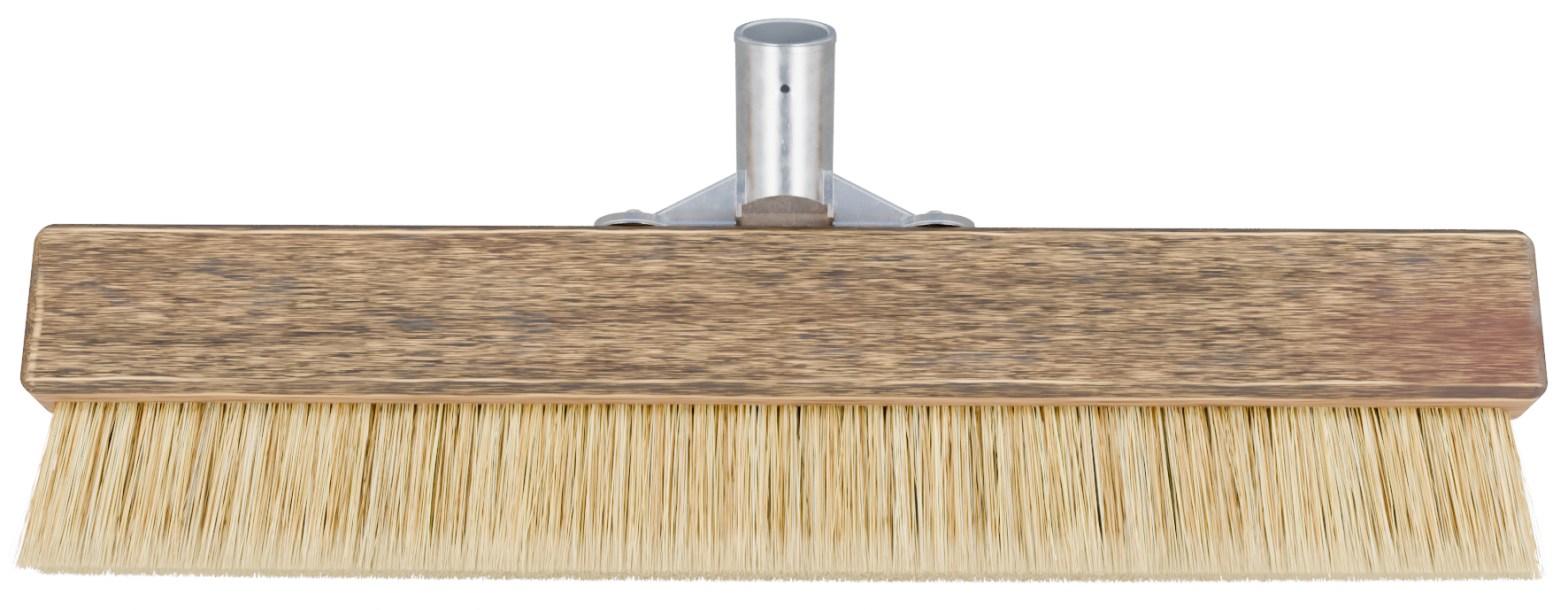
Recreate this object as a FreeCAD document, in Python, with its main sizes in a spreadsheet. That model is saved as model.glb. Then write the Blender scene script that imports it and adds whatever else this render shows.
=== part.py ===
"""Push broom head: a hardwood block with two rows of bristle tufts set in its underside and a
cast aluminium handle holder screwed to its top.

Frame: X along the block, the sweeping front towards -Y, +Z up.  The trimmed bristle tips lie in
the plane Z = 0, and the origin is the middle of that plane, below the middle of the block.
"""

import FreeCAD, Part
import math
import os
import Sketcher

os.makedirs("parts", exist_ok=True)
doc = FreeCAD.newDocument("PushBroomHead")
Vector = FreeCAD.Vector
Rotation = FreeCAD.Rotation
Placement = FreeCAD.Placement

# ---------------------------------------------------------------- driving dimensions, in mm
DIMENSIONS = {
    "block_length": 500.0,
    "block_height": 60.0,
    "block_depth": 32.0,
    "block_corner_round": 7.0,
    "block_edge_round": 4.5,
    "bristle_length": 57.0,
    "tuft_pitch": 7.0,
    "tuft_row_offset": 2.1,
    "tuft_hole_dia": 4.2,
    "tuft_hole_depth": 14.0,
    "tuft_root_dia": 4.1,
    "tuft_root_depth": 13.0,
    "tuft_tip_offset": 4.1,
    "tuft_tip_half_x": 3.5,
    "tuft_tip_half_y": 4.0,
    "tip_spread": 1.024,
    "staple_thickness": 0.6,
    "staple_height": 2.2,
    "staple_cover": 1.2,
    "lug_spacing": 102.0,
    "lug_radius": 13.6,
    "lug_rim_height": 4.2,
    "lug_bead_radius": 14.2,
    "lug_bead_height": 1.3,
    "lug_bead_round": 0.55,
    "lug_crown_radius": 9.0,
    "lug_crown_height": 1.4,
    "root_front": 3.0,
    "root_back": 9.0,
    "neck_height": 2.8,
    "foot_height": 5.5,
    "pedestal_half_length": 15.4,
    "handle_angle": 40.0,
    "socket_length": 72.0,
    "socket_start": -22.0,
    "socket_foot_radius": 16.0,
    "socket_mouth_radius": 16.6,
    "collar_radius": 17.0,
    "collar_height": 3.0,
    "collar_round": 1.2,
    "bore_radius": 14.0,
    "bore_bottom": 22.0,
    "mouth_chamfer": 0.8,
    "cheek_half_length": 16.2,
    "cheek_half_depth": 10.0,
    "cheek_bottom": 2.0,
    "cheek_leg_width": 1.8,
    "cheek_top": 14.5,
    "web_thickness": 4.0,
    "web_foot": 2.0,
    "web_foot_half_length": 55.6,
    "web_top": 24.0,
    "web_top_half_length": 14.0,
    "web_edge_round": 0.5,
    "nail_hole_radius": 1.6,
    "nail_hole_from_mouth": 15.0,
    "nail_sink_radius": 2.1,
    "nail_sink_depth": 0.5,
    "screw_hole_dia": 5.0,
    "spotface_radius": 5.0,
    "pilot_hole_dia": 4.5,
    "pilot_hole_depth": 24.0,
    "screw_shank_dia": 4.4,
    "screw_head_dia": 9.6,
    "screw_head_height": 4.0,
    "screw_reach": 22.0,
    "screw_point": 5.0,
    "screw_slot_width": 1.2,
    "screw_slot_depth": 1.3,
}
TUFTS_PER_ROW = 68
TUFTS_PER_NODE = 7
TUFT_SIDES = 16
ROWS = {"front": -1, "rear": 1}
ENDS = {"left": -1, "right": 1}

sheet = doc.addObject("Spreadsheet::Sheet", "Dimensions")
for row, (alias, size) in enumerate(DIMENSIONS.items(), start=1):
    sheet.set(f"A{row}", alias)
    sheet.set(f"B{row}", str(size))
    sheet.setAlias(f"B{row}", alias)
doc.recompute()


def dim(alias):
    return float(getattr(sheet, alias))


def bind(item, prop, formula):
    """Drive one property from the sheet; a formula writes a cell's alias between < and >."""
    item.setExpression(prop, formula.replace("<", "Dimensions.").replace(">", ""))


# ---------------------------------------------------------------- helpers for PartDesign bodies
def origin_plane(body, role):
    return next(item for item in body.Origin.OriginFeatures if item.Role == role)


def new_sketch(body, name, role):
    sketch = body.newObject("Sketcher::SketchObject", name)
    sketch.AttachmentSupport = [(origin_plane(body, role), "")]
    sketch.MapMode = "FlatFace"
    return sketch


def constrain(sketch, kind, places, formula):
    """Add a dimension to a sketch and drive it from the sheet."""
    index = sketch.addConstraint(Sketcher.Constraint(kind, *places, 1.0))
    bind(sketch, f"Constraints[{index}]", formula)


def check_removed(before, after, expected):
    """A cut that points away from the solid removes nothing, so its volume is compared."""
    removed = before.Shape.Volume - after.Shape.Volume
    if abs(removed - expected) > 0.02 * expected:
        raise RuntimeError(f"{after.Name} removed {removed:.1f} mm3, not {expected:.1f} mm3")


def cylinder_volume(diameter, length):
    return math.pi / 4 * diameter ** 2 * length


# ---------------------------------------------------------------- block
def edges_along(shape, direction):
    """Names of the straight edges that run along a direction."""
    names = []
    for number, edge in enumerate(shape.Edges, start=1):
        if edge.Curve.TypeId == "Part::GeomLine" and abs(edge.Curve.Direction.dot(direction)) > 0.999:
            names.append(f"Edge{number}")
    return names


def edges_around_faces(shape, direction):
    """Names of the edges around the flat faces that look along a direction."""
    rims = []
    for face in shape.Faces:
        if face.Surface.TypeId == "Part::GeomPlane" and abs(face.normalAt(0, 0).dot(direction)) > 0.999:
            rims.extend(face.Edges)
    names = []
    for number, edge in enumerate(shape.Edges, start=1):
        if any(edge.isSame(rim) for rim in rims):
            names.append(f"Edge{number}")
    return names


def make_board(body):
    """The board on edge, with its ends rounded and every edge eased."""
    outline = new_sketch(body, "block_front", "XZ_Plane")
    half_length = dim("block_length") / 2
    corners = [
        Vector(-half_length, 0, 0),
        Vector(half_length, 0, 0),
        Vector(half_length, dim("block_height"), 0),
        Vector(-half_length, dim("block_height"), 0),
    ]
    for start, end in zip(corners, corners[1:] + corners[:1]):
        outline.addGeometry(Part.LineSegment(start, end), False)
    for line, kind in enumerate(("Horizontal", "Vertical", "Horizontal", "Vertical")):
        outline.addConstraint(Sketcher.Constraint("Coincident", line, 2, (line + 1) % 4, 1))
        outline.addConstraint(Sketcher.Constraint(kind, line))
    outline.addConstraint(Sketcher.Constraint("Symmetric", 0, 1, 0, 2, -1, 1))
    constrain(outline, "DistanceX", (0, 1, 0, 2), "<block_length>")
    constrain(outline, "DistanceY", (1, 1, 1, 2), "<block_height>")

    board = body.newObject("PartDesign::Pad", "board")
    board.Profile = outline
    board.Midplane = True
    bind(board, "Length", "<block_depth>")
    doc.recompute()

    depth_direction = Vector(0, 1, 0)
    ends = body.newObject("PartDesign::Fillet", "rounded_ends")
    ends.Base = (board, edges_along(board.Shape, depth_direction))
    bind(ends, "Radius", "<block_corner_round>")
    doc.recompute()

    eased = body.newObject("PartDesign::Fillet", "eased_edges")
    eased.Base = (ends, edges_around_faces(ends.Shape, depth_direction))
    bind(eased, "Radius", "<block_edge_round>")
    doc.recompute()
    return eased


def drill_tuft_row(body, base, name, side):
    """One row of blind holes in the underside: a first hole, then a linear pattern of it."""
    sketch = new_sketch(body, f"{name}_hole_circle", "XY_Plane")
    guess = Vector(-dim("block_length") * 0.4, side * dim("tuft_row_offset"), 0)
    sketch.addGeometry(Part.Circle(guess, Vector(0, 0, 1), dim("tuft_hole_dia") / 2), False)
    constrain(sketch, "Diameter", (0,), "<tuft_hole_dia>")
    first = (TUFTS_PER_ROW - 1) / 2 - side / 4
    constrain(sketch, "DistanceX", (0, 3, -1, 1), f"<tuft_pitch> * {first}")
    ends = (-1, 1, 0, 3) if side > 0 else (0, 3, -1, 1)
    constrain(sketch, "DistanceY", ends, "<tuft_row_offset>")

    hole = body.newObject("PartDesign::Pocket", f"{name}_hole")
    hole.Profile = sketch
    hole.Reversed = True
    bind(hole, "Length", "<tuft_hole_depth>")
    doc.recompute()

    pattern = body.newObject("PartDesign::LinearPattern", f"{name}_holes")
    pattern.Originals = [hole]
    pattern.Direction = (origin_plane(body, "X_Axis"), [""])
    pattern.Occurrences = TUFTS_PER_ROW
    bind(pattern, "Length", f"<tuft_pitch> * {TUFTS_PER_ROW - 1}")
    body.Tip = pattern
    doc.recompute()
    one_hole = cylinder_volume(dim("tuft_hole_dia"), dim("tuft_hole_depth"))
    check_removed(base, pattern, TUFTS_PER_ROW * one_hole)
    return pattern


def drill_pilot_holes(body, base):
    """Two blind holes in the top for the holder's screws."""
    sketch = new_sketch(body, "pilot_circles", "XY_Plane")
    bind(sketch, "AttachmentOffset.Base.z", "<block_height>")
    for index, side in enumerate(ENDS.values()):
        guess = Vector(side * dim("lug_spacing") / 2, 0, 0)
        sketch.addGeometry(Part.Circle(guess, Vector(0, 0, 1), dim("pilot_hole_dia") / 2), False)
        constrain(sketch, "Diameter", (index,), "<pilot_hole_dia>")
        ends = (-1, 1, index, 3) if side > 0 else (index, 3, -1, 1)
        constrain(sketch, "DistanceX", ends, "<lug_spacing> / 2")
        sketch.addConstraint(Sketcher.Constraint("PointOnObject", index, 3, -1))
    holes = body.newObject("PartDesign::Pocket", "pilot_holes")
    holes.Profile = sketch
    bind(holes, "Length", "<pilot_hole_depth>")
    body.Tip = holes
    doc.recompute()
    one_hole = cylinder_volume(dim("pilot_hole_dia"), dim("pilot_hole_depth"))
    check_removed(base, holes, 2 * one_hole)


def make_block():
    """Hardwood block, with two staggered rows of tuft holes below and two pilot holes above."""
    body = doc.addObject("PartDesign::Body", "block_body")
    base = make_board(body)
    for name, side in ROWS.items():
        base = drill_tuft_row(body, base, name, side)
    drill_pilot_holes(body, base)
    bind(body, "Placement.Base.z", "<bristle_length>")
    body.Label = "broom_block"
    return body


# ---------------------------------------------------------------- handle holder
# The holder is drawn on a plane of its own, the block's top, and lifted there at the end.
def primitive(kind, name, **formulas):
    item = doc.addObject(f"Part::{kind}", name)
    for prop, formula in formulas.items():
        bind(item, prop, formula)
    return item


def centred_box(name, length, width, height, lift="0"):
    """Box centred on X and Y, standing on the height given by lift."""
    box = primitive("Box", name, Length=length, Width=width, Height=height)
    bind(box, "Placement.Base.x", f"-({length}) / 2")
    bind(box, "Placement.Base.y", f"-({width}) / 2")
    bind(box, "Placement.Base.z", lift)
    return box


def beside(item, side, lift="0"):
    """Move an upright solid over one lug."""
    bind(item, "Placement.Base.x", f"{side} * <lug_spacing> / 2")
    bind(item, "Placement.Base.z", lift)
    return item


def along_socket(item, distance, turned=0):
    """Tilt a solid to the handle's angle and slide it to a distance along the socket's axis."""
    item.Placement = Placement(Vector(), Rotation(Vector(1, 0, 0), turned + dim("handle_angle")))
    bind(item, "Placement.Rotation.Angle", f"({turned} + <handle_angle>) * 1 deg")
    bind(item, "Placement.Base.y", f"-({distance}) * sin(<handle_angle> * 1 deg)")
    bind(item, "Placement.Base.z", f"({distance}) * cos(<handle_angle> * 1 deg)")
    return item


def join(name, solids):
    item = doc.addObject("Part::MultiFuse", name)
    item.Shapes = solids
    return item


def combine(kind, name, base, tool):
    item = doc.addObject(f"Part::{kind}", name)
    item.Base = base
    item.Tool = tool
    return item


def round_edges(name, base, radius, wanted):
    """Fillet the edges that pass a test."""
    doc.recompute()
    item = doc.addObject("Part::Fillet", name)
    item.Base = base
    numbers = [number for number, edge in enumerate(base.Shape.Edges, start=1) if wanted(edge)]
    item.Edges = [(number, radius, radius) for number in numbers]
    return item


def is_upper_rim(edge):
    return edge.isClosed() and edge.CenterOfMass.z > 0.1


def is_sloping(edge):
    direction = edge.tangentAt(edge.FirstParameter)
    return 0.1 < abs(direction.x) < 0.99


def make_lugs():
    """Round lugs at both ends of the base: a thin bead below, a rim, and a low crown."""
    pieces = []
    for name, side in ENDS.items():
        disc = primitive("Cylinder", f"{name}_bead_disc", Radius="<lug_bead_radius>",
                         Height="<lug_bead_height>")
        bead = round_edges(f"{name}_bead", disc, dim("lug_bead_round"), is_upper_rim)
        rim = primitive("Cylinder", f"{name}_lug_rim", Radius="<lug_radius>", Height="<lug_rim_height>")
        crown = primitive("Cone", f"{name}_lug_crown", Radius1="<lug_radius>",
                          Radius2="<lug_crown_radius>", Height="<lug_crown_height>")
        pieces += [beside(bead, side), beside(rim, side), beside(crown, side, "<lug_rim_height>")]
    return pieces


def make_web():
    """Triangular plate in the plane of the socket's axis, from the tube's sides to the lugs."""
    plate = primitive("Wedge", "web_plate", Zmin="-<web_thickness> / 2", Zmax="<web_thickness> / 2",
                      Z2min="-<web_thickness> / 2", Z2max="<web_thickness> / 2",
                      Xmin="-<web_foot_half_length>", Xmax="<web_foot_half_length>",
                      X2min="-<web_top_half_length>", X2max="<web_top_half_length>",
                      Ymin="<web_foot>", Ymax="<web_top>")
    web = round_edges("web", plate, dim("web_edge_round"), is_sloping)
    return along_socket(web, "0", turned=90)


def leaning_slab(name, half_length, front, back, low, high):
    """Slab whose front and back lean with the socket, cut level at its bottom and top."""
    bar = primitive("Box", f"{name}_bar", Length=f"2 * {half_length}", Width=f"{front} + {back}",
                    Height="2 * <socket_length>")
    bind(bar, "Placement.Base.x", f"-{half_length}")
    bind(bar, "Placement.Base.y", f"-{front}")
    bind(bar, "Placement.Base.z", "-<socket_length>")
    leaning = doc.addObject("Part::Compound", f"{name}_leaning_bar")
    leaning.Links = [bar]
    along_socket(leaning, "0")
    band = centred_box(f"{name}_band", "2 * <lug_spacing>", "4 * <socket_length>",
                       f"{high} - {low}", low)
    return combine("Common", name, leaning, band)


def make_socket():
    """Tapered tube cut level at its foot, its collar, and flat cheeks that reach below the foot."""
    tube = primitive("Cone", "socket_tube", Radius1="<socket_foot_radius>",
                     Radius2="<socket_mouth_radius>", Height="<socket_length> - <socket_start>")
    along_socket(tube, "<socket_start>")
    below_foot = centred_box("below_foot", "4 * <collar_radius>", "4 * <socket_length>",
                             "<socket_length>", "<foot_height> - <socket_length>")
    level_tube = combine("Cut", "level_tube", tube, below_foot)

    ring = primitive("Cylinder", "collar_ring", Radius="<collar_radius>", Height="<collar_height>")
    collar = round_edges("collar", ring, dim("collar_round"), is_upper_rim)
    along_socket(collar, "<socket_length> - <collar_height>")

    slab = leaning_slab("cheek_slab", "<cheek_half_length>", "<cheek_half_depth>",
                        "<cheek_half_depth>", "<cheek_bottom>", "<cheek_top>")
    under_foot = centred_box("under_foot", "2 * (<cheek_half_length> - <cheek_leg_width>)",
                             "4 * <socket_length>", "<foot_height>")
    cheeks = combine("Cut", "cheeks", slab, under_foot)
    return [level_tube, collar, cheeks]


def make_socket_cuts():
    """The handle's bore with its eased mouth, and the sunk hole for the nail that holds it."""
    bore = primitive("Cylinder", "bore", Radius="<bore_radius>", Height="<socket_length>")
    along_socket(bore, "<bore_bottom>")
    mouth = primitive("Cone", "mouth_ease", Radius1="<bore_radius>",
                      Radius2="<bore_radius> + 2 * <mouth_chamfer>", Height="2 * <mouth_chamfer>")
    along_socket(mouth, "<socket_length> - <mouth_chamfer>")

    nail_place = "<socket_length> - <nail_hole_from_mouth>"
    nail = primitive("Cylinder", "nail_hole", Radius="<nail_hole_radius>", Height="2 * <collar_radius>")
    along_socket(nail, nail_place, turned=90)
    sink = primitive("Cylinder", "nail_sink_disc", Radius="<nail_sink_radius>",
                     Height="<nail_sink_depth> + 1")
    bind(sink, "Placement.Base.z", "<socket_mouth_radius> - <nail_sink_depth>")
    tilted_sink = doc.addObject("Part::Compound", "nail_sink")
    tilted_sink.Links = [sink]
    along_socket(tilted_sink, nail_place, turned=90)
    return [bore, mouth, nail, tilted_sink]


def make_screw_cuts():
    """A clearance hole through each lug and a level seat for the screw's head."""
    cuts = []
    for name, side in ENDS.items():
        hole = primitive("Cylinder", f"{name}_screw_hole", Radius="<screw_hole_dia> / 2",
                         Height="2 * <socket_length>")
        seat = primitive("Cylinder", f"{name}_spotface", Radius="<spotface_radius>",
                         Height="<socket_length>")
        cuts.append(beside(hole, side, "-<socket_length>"))
        cuts.append(beside(seat, side, "<lug_rim_height> + <lug_crown_height>"))
    return cuts


def make_holder():
    """One casting: base with its lugs and neck, web, pedestal and the tilted socket."""
    neck = leaning_slab("neck", "<lug_spacing> / 2", "<root_front>", "<root_back>",
                        "0", "<neck_height>")
    pedestal = leaning_slab("pedestal", "<pedestal_half_length>", "<root_front>", "<root_back>",
                            "0", "<foot_height> + 1")
    solids = join("holder_solids", [neck, pedestal, make_web()] + make_lugs() + make_socket())
    cuts = join("holder_cuts", make_socket_cuts() + make_screw_cuts())
    holder = combine("Cut", "holder_casting", solids, cuts)
    holder.Refine = True
    bind(holder, "Placement.Base.z", "<bristle_length> + <block_height>")
    holder.Label = "handle_holder"
    return holder


# ---------------------------------------------------------------- holder screws
def screw(side):
    """Round-head wood screw, seated on its lug, with a straight slot."""
    shank = dim("screw_shank_dia") / 2
    head = dim("screw_head_dia") / 2
    seat = dim("lug_rim_height") + dim("lug_crown_height")
    top = seat + dim("screw_head_height")
    tip = -dim("screw_reach")
    shoulder = tip + dim("screw_point")
    dome_middle = Vector(head * 0.78, 0, seat + dim("screw_head_height") * 0.68)
    edges = [
        Part.LineSegment(Vector(0, 0, tip), Vector(shank, 0, shoulder)),
        Part.LineSegment(Vector(shank, 0, shoulder), Vector(shank, 0, seat)),
        Part.LineSegment(Vector(shank, 0, seat), Vector(head, 0, seat)),
        Part.Arc(Vector(head, 0, seat), dome_middle, Vector(0, 0, top)),
        Part.LineSegment(Vector(0, 0, top), Vector(0, 0, tip)),
    ]
    half_section = Part.Face(Part.Wire([edge.toShape() for edge in edges]))
    turned = half_section.revolve(Vector(), Vector(0, 0, 1), 360)
    slot_width = dim("screw_slot_width")
    slot_depth = dim("screw_slot_depth")
    slot_corner = Vector(-head, -slot_width / 2, top - slot_depth)
    slot = Part.makeBox(2 * head, slot_width, slot_depth, slot_corner)
    slot.rotate(Vector(), Vector(0, 0, 1), 35 * side)
    slotted = turned.cut(slot)
    slotted.translate(Vector(side * dim("lug_spacing") / 2, 0, 0))
    return slotted


def make_holder_screws():
    screws = doc.addObject("Part::Feature", "screw_pair")
    screws.Shape = Part.makeCompound([screw(side) for side in ENDS.values()])
    bind(screws, "Placement.Base.z", "<bristle_length> + <block_height>")
    screws.Label = "holder_screws"
    return screws


# ---------------------------------------------------------------- tufts and their staples
def row_places(side):
    """The rows are staggered by half a pitch, a quarter each way."""
    middle = (TUFTS_PER_ROW - 1) / 2
    return [(index - middle + side / 4) * dim("tuft_pitch") for index in range(TUFTS_PER_ROW)]


def staple(root_x, side):
    """Flat wire staple at the bottom of a hole, with the folded tuft around it."""
    length = dim("tuft_root_dia")
    thickness = dim("staple_thickness")
    height = dim("staple_height")
    top = dim("bristle_length") + dim("tuft_root_depth") - dim("staple_cover")
    corner_y = side * dim("tuft_row_offset") - thickness / 2
    corner = Vector(root_x - length / 2, corner_y, top - height)
    return Part.makeBox(length, thickness, height, corner)


def oval(centre, half_x, half_y):
    """Level oval outline with a fixed number of straight sides."""
    turns = [math.tau * (index + 0.5) / TUFT_SIDES for index in range(TUFT_SIDES)]
    corners = [centre + Vector(half_x * math.cos(turn), half_y * math.sin(turn), 0) for turn in turns]
    return Part.makePolygon(corners + corners[:1])


def tuft(root_x, side):
    """One tuft: straight in its round hole, then spreading to an oval at its level, trimmed tip."""
    root_radius = dim("tuft_root_dia") / 2
    mouth = Vector(root_x, side * dim("tuft_row_offset"), dim("bristle_length"))
    bend = mouth + Vector(0, 0, dim("tuft_root_depth"))
    tip = Vector(root_x * dim("tip_spread"), side * dim("tuft_tip_offset"), 0)
    sections = [
        oval(tip, dim("tuft_tip_half_x"), dim("tuft_tip_half_y")),
        oval(mouth, root_radius, root_radius),
        oval(bend, root_radius, root_radius),
    ]
    return Part.makeLoft(sections, True, True).cut(staple(root_x, side))


def make_row(row, side):
    """Neighbouring tufts share a node, each a solid of its own; the staples share another."""
    places = row_places(side)
    groups = {
        f"{row}_tufts_{first // TUFTS_PER_NODE + 1:02d}": [
            tuft(x, side) for x in places[first:first + TUFTS_PER_NODE]
        ]
        for first in range(0, TUFTS_PER_ROW, TUFTS_PER_NODE)
    }
    groups[f"{row}_staples"] = [staple(x, side) for x in places]
    nodes = []
    for label, solids in groups.items():
        node = doc.addObject("Part::Feature", f"{label}_group")
        node.Shape = Part.makeCompound(solids)
        node.Placement = Placement(Vector(), Rotation())
        node.Label = label
        nodes.append(node)
    return nodes


# ---------------------------------------------------------------- build, check and write
pieces = [make_block(), make_holder(), make_holder_screws()]
for row_name, row_side in ROWS.items():
    pieces += make_row(row_name, row_side)
doc.recompute()

for item in doc.Objects:
    if "Invalid" in item.State or "Error" in item.State:
        raise RuntimeError(f"{item.Name} failed: {item.State}")
for piece in pieces:
    if piece.Shape.isNull() or not piece.Shape.isValid():
        raise RuntimeError(f"{piece.Label} has no valid shape")
for piece in pieces:
    piece.Shape.exportStep(f"parts/{piece.Label}.step")
    box = piece.Shape.BoundBox
    print(f"{piece.Label}: {len(piece.Shape.Solids)} solids, {piece.Shape.Volume:.0f} mm3, "
          f"x {box.XMin:.1f}..{box.XMax:.1f}, y {box.YMin:.1f}..{box.YMax:.1f}, "
          f"z {box.ZMin:.1f}..{box.ZMax:.1f}")
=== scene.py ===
"""Push broom head: worn stained block, natural bristle, cast aluminium handle holder."""

import bmesh
import bpy
import math
import random
from mathutils import Matrix, Vector, noise


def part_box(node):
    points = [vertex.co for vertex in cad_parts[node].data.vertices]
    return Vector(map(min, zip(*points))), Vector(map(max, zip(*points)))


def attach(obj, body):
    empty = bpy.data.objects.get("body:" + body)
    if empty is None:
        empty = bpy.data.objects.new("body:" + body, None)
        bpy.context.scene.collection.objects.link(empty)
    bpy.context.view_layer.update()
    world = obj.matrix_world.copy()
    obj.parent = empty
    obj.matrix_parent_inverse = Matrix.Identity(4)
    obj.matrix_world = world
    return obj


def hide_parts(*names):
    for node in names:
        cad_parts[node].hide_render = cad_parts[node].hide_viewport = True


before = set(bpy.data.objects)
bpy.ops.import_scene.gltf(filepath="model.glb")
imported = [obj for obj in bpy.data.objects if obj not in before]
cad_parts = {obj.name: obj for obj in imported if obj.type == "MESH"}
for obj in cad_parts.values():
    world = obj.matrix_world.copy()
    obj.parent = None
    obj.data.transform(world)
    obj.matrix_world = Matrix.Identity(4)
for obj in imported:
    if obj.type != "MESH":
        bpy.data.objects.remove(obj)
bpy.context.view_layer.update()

MM = 0.001

# The block: its box as packed, then the rounding and the mesh step of its visible shape
BLOCK_LOW, BLOCK_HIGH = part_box("broom_block")
HALF_LENGTH = BLOCK_HIGH.x
HALF_DEPTH = BLOCK_HIGH.y
UNDERSIDE = BLOCK_LOW.z
BLOCK_TOP = BLOCK_HIGH.z
END_ROUND = 7 * MM
EASED_EDGE = 4.4 * MM
BLOCK_MESH_STEP = 4 * MM

# Where the holder's finish changes and painted shade and reflections go: in the bore, under the
# foot and on the webs
HANDLE_ANGLE = math.radians(40)
BORE_RADIUS = 14.1 * MM
BORE_LOW = 20 * MM
FOOT_HALF_WIDTH = 16 * MM
FOOT_HEIGHT = 6 * MM
WEB_START = 16.4 * MM
WEB_END = 42 * MM

# The tufts: where they stand, and how far a tuft's hairs reach from its middle
TUFTS_PER_ROW = 68
TUFTS_PER_NODE = 7
TUFT_PITCH = 7.0 * MM
ROOT_ROW_OFFSET = 2.1 * MM
TIP_ROW_OFFSET = 4.1 * MM
TIP_SPREAD = 1.024
ROOT_HALF_X = 3.3 * MM
ROOT_HALF_Y = 2.0 * MM
TIP_HALF_X = 3.9 * MM
TIP_HALF_Y = 3.7 * MM
ROOT_DEPTH = 3 * MM
TRIM_CROWN = 1.6 * MM
TUFT_LEAN = 4 * MM

# The hairs of a tuft
HAIRS_PER_TUFT = 210
HAIR_SIDES = 3
HAIR_RADIUS = (0.11 * MM, 0.19 * MM)
HAIR_TAPER = ((0.0, 1.0), (0.12, 1.0), (0.35, 0.98), (0.6, 0.95), (0.82, 0.9), (1.0, 0.8))
LOCKS_PER_TUFT = 8
LOCK_REACH = 4 * MM
LOCK_TINT_SHARE = 0.35
STRAY_SHARE = 0.04
HAIR_TINTS = (
    ("#ebc346", 27), ("#fbdf78", 22), ("#cc9a34", 16), ("#fff2ae", 14), ("#8a6220", 11),
    ("#e0d090", 2), ("#5c4119", 5), ("#382713", 3),
)

# Stage and camera
FLOOR_HEIGHT = -0.27
FLOOR_REACH = 4.0
LAMP_TARGET = (0, 0, 0.06)
CAMERA_PLACE = (-0.00006, -0.7908, -0.1688)
CAMERA_PITCH = math.radians(18.32)
CAMERA_ROLL = math.radians(0.226)
CAMERA_LENS = 57.08
CAMERA_SENSOR = 36.0
WHITE = (1.0, 1.0, 1.0, 1.0)
COOL_WHITE = (0.72, 0.85, 1.12, 1.0)


# ---------------------------------------------------------------- node helpers
def colour(code):
    """Linear colour from an sRGB hex code."""
    channels = [int(code[index:index + 2], 16) / 255 for index in (1, 3, 5)]
    return (*[c / 12.92 if c <= 0.04045 else ((c + 0.055) / 1.055) ** 2.4 for c in channels], 1.0)


class Nodes:
    """Short calls for one node tree."""

    def __init__(self, tree):
        self.tree = tree
        self.tree.nodes.clear()

    def add(self, kind, **settings):
        node = self.tree.nodes.new(kind)
        for key, value in settings.items():
            setattr(node, key, value)
        return node

    def feed(self, socket, value):
        """Link an output to a socket, or set the socket to a plain value."""
        if isinstance(value, bpy.types.NodeSocket):
            self.tree.links.new(value, socket)
        elif value is not None:
            socket.default_value = value

    def math(self, operation, *values):
        node = self.add("ShaderNodeMath", operation=operation)
        for socket, value in zip(node.inputs, values):
            self.feed(socket, value)
        return node.outputs[0]

    def chain(self, operation, total, *values):
        for value in values:
            total = self.math(operation, total, value)
        return total

    def plus(self, *values):
        return self.chain("ADD", *values)

    def minus(self, first, second):
        return self.math("SUBTRACT", first, second)

    def times(self, *values):
        return self.chain("MULTIPLY", *values)

    def unsigned(self, value):
        return self.math("ABSOLUTE", value)

    def ramp(self, value, low, high, start=0.0, end=1.0):
        """Map low..high to start..end, smoothly and clamped."""
        node = self.add("ShaderNodeMapRange", interpolation_type="SMOOTHSTEP")
        for key, number in (("Value", value), ("From Min", low), ("From Max", high),
                            ("To Min", start), ("To Max", end)):
            self.feed(node.inputs[key], number)
        return node.outputs["Result"]

    def mix(self, amount, first, second, blend="MIX"):
        node = self.add("ShaderNodeMix", data_type="RGBA", blend_type=blend)
        self.feed(node.inputs[0], amount)
        for socket, value in ((node.inputs[6], first), (node.inputs[7], second)):
            self.feed(socket, colour(value) if isinstance(value, str) else value)
        return node.outputs[2]

    def split(self, vector):
        node = self.add("ShaderNodeSeparateXYZ")
        self.feed(node.inputs[0], vector)
        return node.outputs

    def choose(self, amount, first, second):
        """Mix two shaders."""
        node = self.add("ShaderNodeMixShader")
        for socket, value in zip(node.inputs, (amount, first, second)):
            self.feed(socket, value)
        return node.outputs[0]


class Surface(Nodes):
    """One material: a principled shader and the object's own coordinates."""

    def __init__(self, name):
        self.material = bpy.data.materials.new(name)
        self.material.use_nodes = True
        super().__init__(self.material.node_tree)
        self.shader = self.add("ShaderNodeBsdfPrincipled")
        self.output = self.add("ShaderNodeOutputMaterial")
        self.feed(self.output.inputs["Surface"], self.shader.outputs["BSDF"])
        self.place = self.add("ShaderNodeTexCoord").outputs["Object"]

    def noise(self, scale, detail=4.0, rough=0.55, distort=0.0, shift=(0, 0, 0)):
        """Noise with its own scale along x, y and z; a larger scale is finer."""
        mapping = self.add("ShaderNodeMapping")
        self.feed(mapping.inputs["Vector"], self.place)
        self.feed(mapping.inputs["Scale"], scale)
        self.feed(mapping.inputs["Location"], shift)
        node = self.add("ShaderNodeTexNoise")
        for key, value in (("Vector", mapping.outputs["Vector"]), ("Scale", 1.0),
                           ("Detail", detail), ("Roughness", rough), ("Distortion", distort)):
            self.feed(node.inputs[key], value)
        return node.outputs["Fac"]

    def bump(self, height, distance, strength, normal=None):
        node = self.add("ShaderNodeBump")
        for key, value in (("Height", height), ("Distance", distance), ("Strength", strength),
                           ("Normal", normal)):
            self.feed(node.inputs[key], value)
        return node.outputs["Normal"]

    def finish(self, **values):
        """Set the shader's inputs and hand over the material."""
        names = {"colour": "Base Color", "rough": "Roughness", "metal": "Metallic",
                 "normal": "Normal", "specular": "Specular IOR Level"}
        for key, value in values.items():
            self.feed(self.shader.inputs[names[key]], value)
        return self.material


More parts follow.
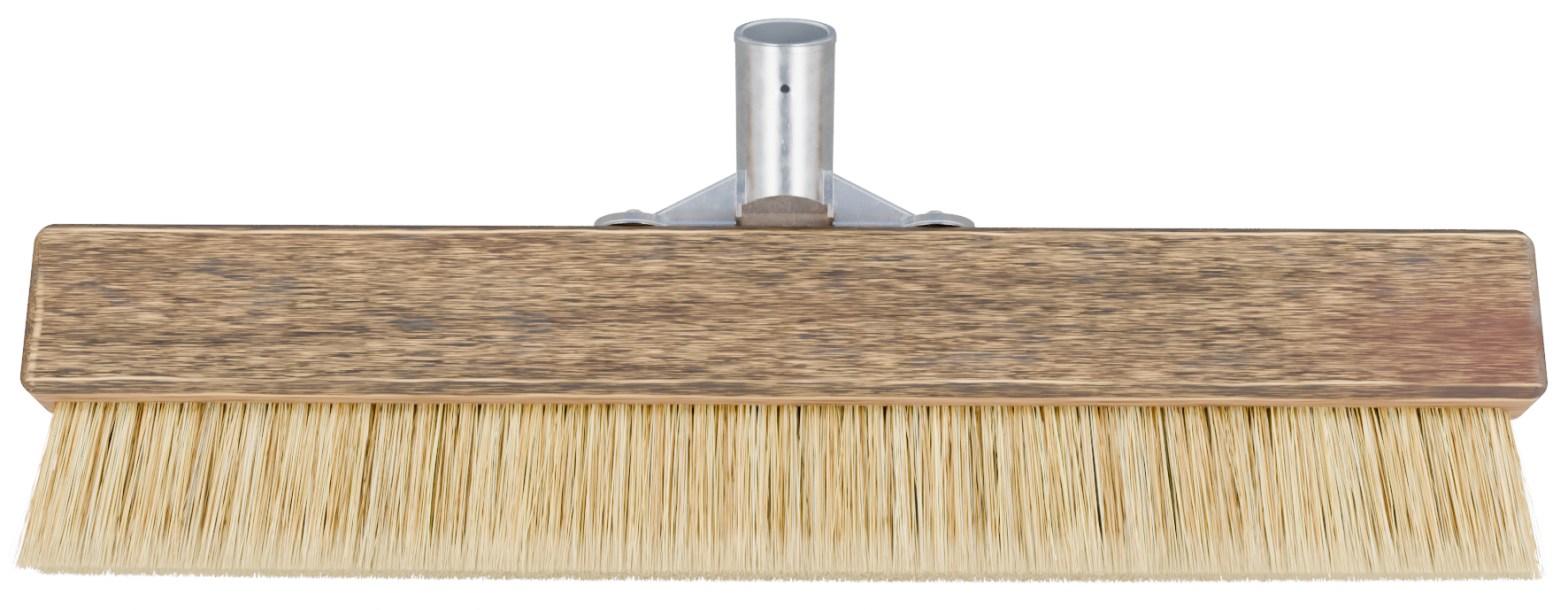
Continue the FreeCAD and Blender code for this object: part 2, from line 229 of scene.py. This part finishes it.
# ---------------------------------------------------------------- materials
def wood_material():
    """Dark stain rubbed into a fine straight grain, worn to bare wood along the arrises, with
    painted shade on the eased lower edge and top arris and painted light on the underside.
    """
    n = Surface("stained_wood")
    x, y, z = n.split(n.place)
    from_end = n.minus(HALF_LENGTH, n.unsigned(x))
    from_face = n.minus(HALF_DEPTH, n.unsigned(y))
    from_below = n.minus(z, UNDERSIDE)
    from_top = n.minus(BLOCK_TOP, z)
    on_face = n.ramp(from_face, 1.8 * MM, 0.6 * MM)

    flecks = n.noise((80, 3400, 3400), detail=3, rough=0.6)
    pores = n.noise((100, 2800, 2800), detail=2, rough=0.55, shift=(5, 2, 1))
    streaks = n.noise((24, 700, 700), detail=5, rough=0.6, distort=0.15, shift=(3, 1, 7))
    bands = n.noise((7, 120, 120), detail=4, rough=0.6, distort=0.2, shift=(6, 3, 2))
    clouds = n.noise((9, 34, 34), detail=4, rough=0.6, distort=0.5, shift=(1, 4, 2))
    stains = n.noise((21, 52, 52), detail=5, rough=0.65, distort=0.8, shift=(7.3, 2, 9))
    patches = n.noise((19, 24, 24), detail=4, shift=(2, 2, 2))
    wobble = n.times(n.minus(n.noise((26, 50, 50), detail=3), 0.5), 3.2 * MM)

    # Grain: dark streaks and bands, golden flecks, open pores and blue-grey speckle
    base = n.mix(n.ramp(streaks, 0.38, 0.62), "#1a1918", "#54412a")
    base = n.mix(n.ramp(bands, 0.56, 0.38, 0.0, 0.6), base, "#1d1918")
    base = n.mix(n.ramp(clouds, 0.40, 0.66, 0.0, 0.5), base, "#3c281a")
    golden = n.times(n.ramp(flecks, 0.51, 0.61, 0.0, 0.85), n.ramp(bands, 0.36, 0.58, 0.4, 1.0))
    base = n.mix(golden, base, "#b58a48")
    base = n.mix(n.ramp(pores, 0.46, 0.37, 0.0, 0.85), base, "#100d0b")
    speckle = n.times(n.ramp(stains, 0.53, 0.70), n.ramp(pores, 0.62, 0.46, 0.3, 1.0), 0.75)
    base = n.mix(speckle, base, "#22262b")

    # The right end is reddish low down and weathered grey, and end grain is dark
    reddish = n.times(n.ramp(x, 0.150, 0.235, 0.0, 0.6), n.ramp(from_below, 55 * MM, 22 * MM))
    base = n.mix(reddish, base, "#40211d")
    weathered = n.times(n.ramp(from_end, 7 * MM, 1 * MM), n.ramp(x, 0.1, 0.2),
                        n.ramp(stains, 0.38, 0.6, 0.1, 0.75))
    base = n.mix(weathered, base, "#57524e")
    end_grain = n.times(n.ramp(from_end, 2.6 * MM, 0.7 * MM), n.ramp(pores, 0.3, 0.6, 0.75, 0.35))
    base = n.mix(end_grain, base, "#2a1a10")

    # Painted shade makes the eased lower edge darker, and painted light makes the underside
    # lighter
    painted_edge_shade = n.times(n.ramp(from_below, 4.6 * MM, 3.6 * MM), n.ramp(from_face, 4.2 * MM, 3.2 * MM),
                    n.ramp(stains, 0.40, 0.58, 0.25, 0.7))
    base = n.mix(painted_edge_shade, base, "#261e19")
    painted_underside_light = n.times(n.ramp(from_below, 1.2 * MM, 0.5 * MM),
                        n.ramp(from_face, 3.4 * MM, 4.4 * MM),
                        n.ramp(streaks, 0.36, 0.62, 0.15, 0.8))
    base = n.mix(painted_underside_light, base, "#b58450")

    def line(distance, centre, width):
        """A thin wandering line along one edge, at a distance from it."""
        off = n.unsigned(n.minus(n.plus(distance, wobble), centre))
        return n.ramp(off, width, 0.1 * width)

    # Stain rubbed through to bare wood in thin broken lines, and painted shade as a dark rim on
    # the top arris
    low_line = n.times(line(from_below, 4.7 * MM, 0.65 * MM), on_face,
                       n.ramp(patches, 0.42, 0.62, 0.12, 0.95))
    high_line = n.times(line(from_top, 3.9 * MM, 0.75 * MM), on_face,
                        n.ramp(patches, 0.42, 0.58, 0.1, 1.0))
    under_line = n.times(line(from_face, 4.0 * MM, 0.8 * MM),
                         n.ramp(from_below, 1.6 * MM, 0.6 * MM),
                         n.ramp(patches, 0.62, 0.42, 0.1, 0.8))
    end_line = n.times(line(from_end, 5.5 * MM, 1.7 * MM), on_face,
                       n.ramp(streaks, 0.40, 0.66, 0.05, 0.7),
                       n.ramp(from_top, 14 * MM, 32 * MM), n.ramp(x, 0.1, -0.1))
    worn = n.chain("MAXIMUM", low_line, high_line, under_line, end_line)
    base = n.mix(n.times(worn, 0.85), base, "#dcae5e")
    # Painted shade: a dark rim along the top arris
    painted_rim_shade = n.times(n.ramp(from_top, 3.3 * MM, 2.4 * MM), n.ramp(from_face, 4.4 * MM, 3.4 * MM))
    base = n.mix(n.times(painted_rim_shade, 0.85), base, "#17110d")

    rough = n.plus(n.ramp(streaks, 0.3, 0.7, 0.50, 0.66), n.times(worn, 0.1))
    relief = n.plus(n.times(streaks, 0.5), n.times(pores, 0.5))
    return n.finish(colour=base, rough=rough, normal=n.bump(relief, 0.22 * MM, 0.55),
                    specular=0.22)


def cast_material():
    """Bright die-cast aluminium, scratched and pitted, duller in the bore and on the webs, with
    painted shade in the bore, a painted blue reflection on the webs and a painted wood reflection
    under the foot.
    """
    n = Surface("cast_aluminium")
    x, y, z = n.split(n.place)
    sine, cosine = math.sin(HANDLE_ANGLE), math.cos(HANDLE_ANGLE)
    aside = n.unsigned(x)
    lift = n.minus(z, BLOCK_TOP)
    along = n.minus(n.times(lift, cosine), n.times(y, sine))
    across = n.plus(n.times(lift, sine), n.times(y, cosine))
    radius = n.math("SQRT", n.plus(n.math("POWER", x, 2.0), n.math("POWER", across, 2.0)))
    shaded_bore = n.times(n.ramp(radius, BORE_RADIUS + 0.4 * MM, BORE_RADIUS),
                      n.ramp(along, BORE_LOW, BORE_LOW + 3 * MM))
    foot_wood_reflection = n.times(n.ramp(lift, FOOT_HEIGHT, FOOT_HEIGHT - 0.8 * MM),
                         n.ramp(aside, FOOT_HALF_WIDTH, FOOT_HALF_WIDTH - 1 * MM))
    web_blue_reflection = n.times(n.ramp(aside, WEB_START, WEB_START + 1 * MM),
                     n.ramp(aside, WEB_END, WEB_END - 4 * MM))

    mottle = n.noise((130, 130, 130), detail=5, rough=0.6)
    specks = n.noise((800, 800, 800), detail=2, rough=0.5, shift=(3, 3, 3))
    rubs = n.noise((1300, 240, 150), detail=3, rough=0.7, distort=1.2)
    base = n.mix(n.ramp(mottle, 0.35, 0.7), "#cfd1d6", "#e6e8ec")
    base = n.mix(n.ramp(specks, 0.66, 0.74, 0.0, 0.6), base, "#fafbff")
    base = n.mix(n.ramp(specks, 0.34, 0.27, 0.0, 0.5), base, "#83868e")
    # Painted shade in the bore, a painted blue-grey reflection on the webs and a painted wood
    # reflection under the foot
    base = n.mix(shaded_bore, base, "#656c76")
    base = n.mix(n.times(web_blue_reflection, 0.6), base, "#7489ae")
    base = n.mix(n.times(foot_wood_reflection, 0.5), base, "#c09a72")

    rough = n.plus(n.ramp(mottle, 0.3, 0.7, 0.17, 0.28), n.ramp(rubs, 0.6, 0.75, 0.0, 0.2),
                   n.times(shaded_bore, 0.4))
    dull = n.plus(n.times(shaded_bore, 0.6), n.times(web_blue_reflection, 0.3), n.times(foot_wood_reflection, 0.22))
    corners = n.add("ShaderNodeBevel", samples=4)
    n.feed(corners.inputs["Radius"], 0.35 * MM)
    relief = n.plus(n.times(mottle, 0.5), n.times(rubs, 0.3), n.times(specks, 0.2))
    normal = n.bump(relief, 0.2 * MM, 0.3, corners.outputs["Normal"])
    return n.finish(colour=base, rough=rough, metal=n.minus(1.0, dull), normal=normal)


def screw_material():
    """Yellow zinc plating, a little dulled."""
    n = Surface("zinc_steel")
    mottle = n.noise((700, 700, 700), detail=4)
    base = n.mix(n.ramp(mottle, 0.35, 0.65), "#b59a55", "#dcc98a")
    rough = n.ramp(mottle, 0.3, 0.7, 0.25, 0.42)
    return n.finish(colour=base, rough=rough, metal=1.0, normal=n.bump(mottle, 0.05 * MM, 0.4))


def staple_material():
    """Drawn bright wire."""
    n = Surface("staple_wire")
    drawn = n.noise((300, 4000, 4000), detail=3)
    base = n.mix(n.ramp(drawn, 0.35, 0.65), "#8c8c8c", "#b9b9ba")
    return n.finish(colour=base, rough=n.ramp(drawn, 0.3, 0.7, 0.3, 0.45), metal=1.0)


def bristle_material():
    """Straw-coloured natural hair; each strand's own tint, with painted shade deep in the brush,
    is stored on its faces.
    """
    n = Surface("natural_bristle")
    tint = n.add("ShaderNodeAttribute", attribute_name="strand_tint_and_shade").outputs["Color"]
    height = n.split(n.place)[2]
    along = n.noise((500, 500, 60), detail=3)
    base = n.mix(n.ramp(along, 0.3, 0.7, 0.0, 0.3), tint, "#b8893f", blend="MULTIPLY")
    base = n.mix(n.ramp(height, 17 * MM, 1 * MM, 0.0, 0.6), base, "#ffe48c")
    specks = n.noise((1100, 1100, 1100), detail=2, shift=(4, 4, 4))
    cut_end = n.times(n.ramp(height, 1.6 * MM, 0.4 * MM), n.ramp(specks, 0.44, 0.58), 0.85)
    base = n.mix(cut_end, base, "#77603c")
    return n.finish(colour=base, rough=0.45, specular=0.18)


def floor_material():
    """Pale matt floor that only shows from above, so that the head can be seen from below."""
    n = Surface("pale_floor")
    backfacing = n.add("ShaderNodeNewGeometry").outputs["Backfacing"]
    clear = n.add("ShaderNodeBsdfTransparent").outputs[0]
    n.feed(n.output.inputs["Surface"], n.choose(backfacing, n.shader.outputs[0], clear))
    return n.finish(colour=n.mix(n.noise((6, 6, 6), detail=2), "#ececec", "#f4f4f4"), rough=0.8)


# ---------------------------------------------------------------- pieces
def new_piece(name, mesh, material, node):
    """Put a mesh in the scene in place of one CAD node."""
    piece = bpy.data.objects.new(name, mesh)
    bpy.context.scene.collection.objects.link(piece)
    mesh.materials.append(material)
    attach(piece, "root")
    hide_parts(node)


def dress_node(name, material):
    """Give a carried CAD node its finished material."""
    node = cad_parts[name]
    node.data.materials.clear()
    node.data.materials.append(material)


def make_block(material):
    """The block with rounded ends, eased edges and the slight unevenness of hand sanding."""
    bm = bmesh.new()
    bmesh.ops.create_cube(bm, size=2.0)
    centre = Vector((0, 0, (UNDERSIDE + BLOCK_TOP) / 2))
    half = Vector((HALF_LENGTH, HALF_DEPTH, (BLOCK_TOP - UNDERSIDE) / 2))
    for v in bm.verts:
        v.co = centre + Vector(c * h for c, h in zip(v.co, half))
    corners = [e for e in bm.edges if abs((e.verts[0].co - e.verts[1].co).y) > HALF_DEPTH]
    bmesh.ops.bevel(bm, geom=corners, offset=END_ROUND, offset_type="OFFSET", segments=10,
                    profile=0.5, affect="EDGES")
    rims = [e for e in bm.edges if len({round(f.normal.y) for f in e.link_faces}) == 2]
    bmesh.ops.bevel(bm, geom=rims, offset=EASED_EDGE, offset_type="OFFSET", segments=8,
                    profile=0.36, affect="EDGES", clamp_overlap=True)
    for normal, low, high in ((Vector((1, 0, 0)), -HALF_LENGTH, HALF_LENGTH),
                              (Vector((0, 0, 1)), UNDERSIDE, BLOCK_TOP),
                              (Vector((0, 1, 0)), -HALF_DEPTH, HALF_DEPTH)):
        count = round((high - low) / BLOCK_MESH_STEP)
        for index in range(1, count):
            bmesh.ops.bisect_plane(bm, geom=[*bm.verts, *bm.edges, *bm.faces], dist=1e-6,
                                   plane_co=normal * (low + (high - low) * index / count),
                                   plane_no=normal)
    bm.normal_update()
    sand_edges(bm)
    for face in bm.faces:
        face.smooth = True
    mesh = bpy.data.meshes.new("worn_block")
    bm.to_mesh(mesh)
    bm.free()
    new_piece("worn_block", mesh, material, "broom_block")


def sand_edges(bm):
    """Move each point inwards a little, more along the rounded edges than on the flats."""
    moves = []
    for v in bm.verts:
        slow = noise.noise(v.co * 35) * 0.5 + 0.5
        quick = noise.noise(v.co * 160 + Vector((9, 9, 9))) * 0.5 + 0.5
        flatness = max(abs(c) for c in v.normal)
        depth = 0.10 * MM + (1 - flatness) * (0.7 * slow + 0.15 * quick) * MM
        moves.append(v.co - v.normal * depth)
    for v, place in zip(bm.verts, moves):
        v.co = place


class Hairs:
    """The mesh of many hairs, with a tint and painted shade for each face."""

    def __init__(self):
        self.vertices, self.faces, self.tints = [], [], []

    def add(self, points, radii, tint):
        """Add one hair along some points, closed at both ends."""
        first = len(self.vertices)
        spin = random.uniform(0, math.tau)
        for point, radius in zip(points, radii):
            for side in range(HAIR_SIDES):
                angle = spin + math.tau * side / HAIR_SIDES
                self.vertices.append((point[0] + radius * math.cos(angle),
                                      point[1] + radius * math.sin(angle), point[2]))
        faces = []
        for ring in range(len(points) - 1):
            for side in range(HAIR_SIDES):
                a = first + ring * HAIR_SIDES + side
                b = first + ring * HAIR_SIDES + (side + 1) % HAIR_SIDES
                faces.append((a, b, b + HAIR_SIDES, a + HAIR_SIDES))
        last = first + (len(points) - 1) * HAIR_SIDES
        faces.append(tuple(last + side for side in range(HAIR_SIDES)))
        faces.append(tuple(first + side for side in reversed(range(HAIR_SIDES))))
        self.faces += faces
        self.tints += [tint] * len(faces)

    def to_mesh(self, name):
        mesh = bpy.data.meshes.new(name)
        mesh.from_pydata(self.vertices, [], self.faces)
        layer = mesh.attributes.new("strand_tint_and_shade", "FLOAT_COLOR", "FACE")
        layer.data.foreach_set("color", [channel for tint in self.tints for channel in tint])
        mesh.polygons.foreach_set("use_smooth", [True] * len(mesh.polygons))
        return mesh


def make_tuft(hairs, root_x, side, lean):
    """A folded tuft: hairs leave its hole, gather in locks and spread to the trim line."""
    tip_x = root_x * TIP_SPREAD + lean
    locks = [random.uniform(-LOCK_REACH, LOCK_REACH) for _ in range(LOCKS_PER_TUFT)]
    tints = [code for code, share in HAIR_TINTS for _ in range(share)]
    lock_tints = [random.choice(tints) for _ in locks]
    tuft_shade = random.gauss(1.0, 0.07)
    crown = TRIM_CROWN * (root_x / HALF_LENGTH) ** 2
    for _ in range(HAIRS_PER_TUFT):
        across, outward = random.uniform(-1, 1), random.uniform(-1, 1)
        narrowing = 0.72 + 0.28 * math.sqrt(1 - outward * outward)
        start_x = root_x + across * narrowing * ROOT_HALF_X
        start_y = side * (ROOT_ROW_OFFSET + outward * ROOT_HALF_Y)

        # The cut end, drawn part of the way into its lock; a few hairs stray
        lock = random.randrange(len(locks))
        gather = random.uniform(0.1, 0.5)
        spread = across * TIP_HALF_X + random.gauss(0, 1.5 * MM)
        end_x = tip_x + locks[lock] * gather + spread * (1 - 0.5 * gather)
        end_y = side * (TIP_ROW_OFFSET + outward * TIP_HALF_Y) + random.gauss(0, 0.25 * MM)
        end_z = crown + abs(random.gauss(0, 0.4 * MM))
        if random.random() < STRAY_SHARE:
            end_x += random.gauss(0, 5 * MM)
            end_z += random.uniform(0, 2 * MM)
        end_x = max(-HALF_LENGTH + MM, min(HALF_LENGTH - MM, end_x))

        # A slightly bowed path between root and cut end
        bow_x = random.gauss(0, 0.7 * MM)
        bow_y = random.gauss(0, 0.5 * MM)
        start = Vector((start_x, start_y, UNDERSIDE + ROOT_DEPTH))
        end = Vector((end_x, end_y, end_z))
        points = []
        for t, _ in HAIR_TAPER:
            point = start.lerp(end, t)
            bow = 4 * t * (1 - t)
            points.append((point.x + bow_x * bow, point.y + bow_y * bow, point.z))
        thick = random.uniform(*HAIR_RADIUS)
        radii = [thick * share for _, share in HAIR_TAPER]

        # Painted shade: hairs deep inside the brush are darker than those on its outside and ends
        code = lock_tints[lock] if random.random() < LOCK_TINT_SHARE else random.choice(tints)
        shade = tuft_shade * random.uniform(0.85, 1.12)
        outer = max(1.1 * outward, 50 * (abs(start_x) / HALF_LENGTH - 0.935))
        shade *= 0.11 + 1.08 * max(0.0, min(1.0, outer)) ** 1.9
        hairs.add(points, radii, (*[min(1.0, c * shade) for c in colour(code)[:3]], 1.0))


def make_bristle(row, side, number, material):
    """The tufts of one CAD node as separate hairs."""
    first = (number - 1) * TUFTS_PER_NODE
    middle = (TUFTS_PER_ROW - 1) / 2
    hairs = Hairs()
    for index in range(first, min(first + TUFTS_PER_NODE, TUFTS_PER_ROW)):
        root_x = (index - middle + side / 4) * TUFT_PITCH
        lean = TUFT_LEAN * noise.noise(Vector((root_x * 28, side, 0)))
        make_tuft(hairs, root_x, side, lean + random.gauss(0, 0.4 * MM))
    name = f"{row}_bristle_{number:02d}"
    new_piece(name, hairs.to_mesh(name), material, f"{row}_tufts_{number:02d}")


# ---------------------------------------------------------------- stage, light and camera
def make_floor(material):
    mesh = bpy.data.meshes.new("floor")
    corners = [(-FLOOR_REACH, -FLOOR_REACH, 0), (FLOOR_REACH, -FLOOR_REACH, 0),
               (FLOOR_REACH, FLOOR_REACH, 0), (-FLOOR_REACH, FLOOR_REACH, 0)]
    mesh.from_pydata(corners, [], [(0, 1, 2, 3)])
    mesh.materials.append(material)
    floor = bpy.data.objects.new("floor", mesh)
    bpy.context.scene.collection.objects.link(floor)
    floor.location.z = FLOOR_HEIGHT
    floor.visible_glossy = False


def make_lamp(name, place, size, power):
    """A square soft lamp that the metal does not mirror."""
    data = bpy.data.lights.new(name, "AREA")
    data.shape = "RECTANGLE"
    data.size = data.size_y = size
    data.energy = power
    lamp = bpy.data.objects.new(name, data)
    bpy.context.scene.collection.objects.link(lamp)
    lamp.location = place
    lamp.visible_glossy = False
    turn = (Vector(LAMP_TARGET) - Vector(place)).to_track_quat("-Z", "Y")
    lamp.rotation_euler = turn.to_euler()


def make_world():
    """White studio: even light on matt surfaces, and broad soft boxes mirrored by the metal."""
    world = bpy.data.worlds.new("studio")
    world.use_nodes = True
    n = Nodes(world.node_tree)
    x, y, z = n.split(n.add("ShaderNodeTexCoord").outputs["Generated"])
    aside = n.unsigned(x)
    soft_box = n.times(n.ramp(aside, 0.28, 0.40), n.ramp(aside, 0.78, 0.46))
    from_below = n.plus(n.ramp(aside, 0.17, 0.32, 0.55, 1.7), n.times(soft_box, 13.0))
    low = n.ramp(z, 0.05, -0.35)
    from_above = n.times(n.minus(1.0, low), n.ramp(z, 0.40, 0.80, 0.6, 3.2))
    ahead = n.plus(n.times(from_below, low), from_above)
    front = n.ramp(y, 0.45, -0.10)
    mirrored = n.plus(n.times(ahead, front), n.times(n.minus(1.0, front), 0.5))
    mirrored_tint = n.mix(n.ramp(aside, 0.34, 0.2), WHITE, COOL_WHITE)

    path = n.add("ShaderNodeLightPath")

    def glow(strength, tint):
        background = n.add("ShaderNodeBackground")
        n.feed(background.inputs["Color"], tint)
        n.feed(background.inputs["Strength"], strength)
        return background.outputs[0]

    shader = n.choose(path.outputs["Is Glossy Ray"], glow(1.55, WHITE),
                      glow(mirrored, mirrored_tint))
    shader = n.choose(path.outputs["Is Camera Ray"], shader, glow(20.0, WHITE))
    n.feed(n.add("ShaderNodeOutputWorld").inputs["Surface"], shader)
    bpy.context.scene.world = world


def make_camera():
    """In front of the head and a little below it, looking up at the front and the underside."""
    data = bpy.data.cameras.new("camera")
    data.sensor_width = CAMERA_SENSOR
    data.lens = CAMERA_LENS
    camera = bpy.data.objects.new("camera", data)
    bpy.context.scene.collection.objects.link(camera)
    turn = (Matrix.Rotation(math.pi / 2 + CAMERA_PITCH, 4, "X")
            @ Matrix.Rotation(CAMERA_ROLL, 4, "Z"))
    camera.matrix_world = Matrix.Translation(CAMERA_PLACE) @ turn
    bpy.context.scene.camera = camera


random.seed(28)
bristle = bristle_material()
make_block(wood_material())
dress_node("handle_holder", cast_material())
dress_node("holder_screws", screw_material())
staple = staple_material()
for row, side in (("front", -1), ("rear", 1)):
    dress_node(f"{row}_staples", staple)
    for number in range(1, math.ceil(TUFTS_PER_ROW / TUFTS_PER_NODE) + 1):
        make_bristle(row, side, number, bristle)

make_floor(floor_material())
make_lamp("key", (-0.5, -1.3, 1.1), size=1.2, power=105)
make_lamp("fill", (0.9, -1.0, 0.3), size=0.8, power=36)
make_lamp("rear", (0.7, 1.3, 0.7), size=1.2, power=45)
make_world()
make_camera()
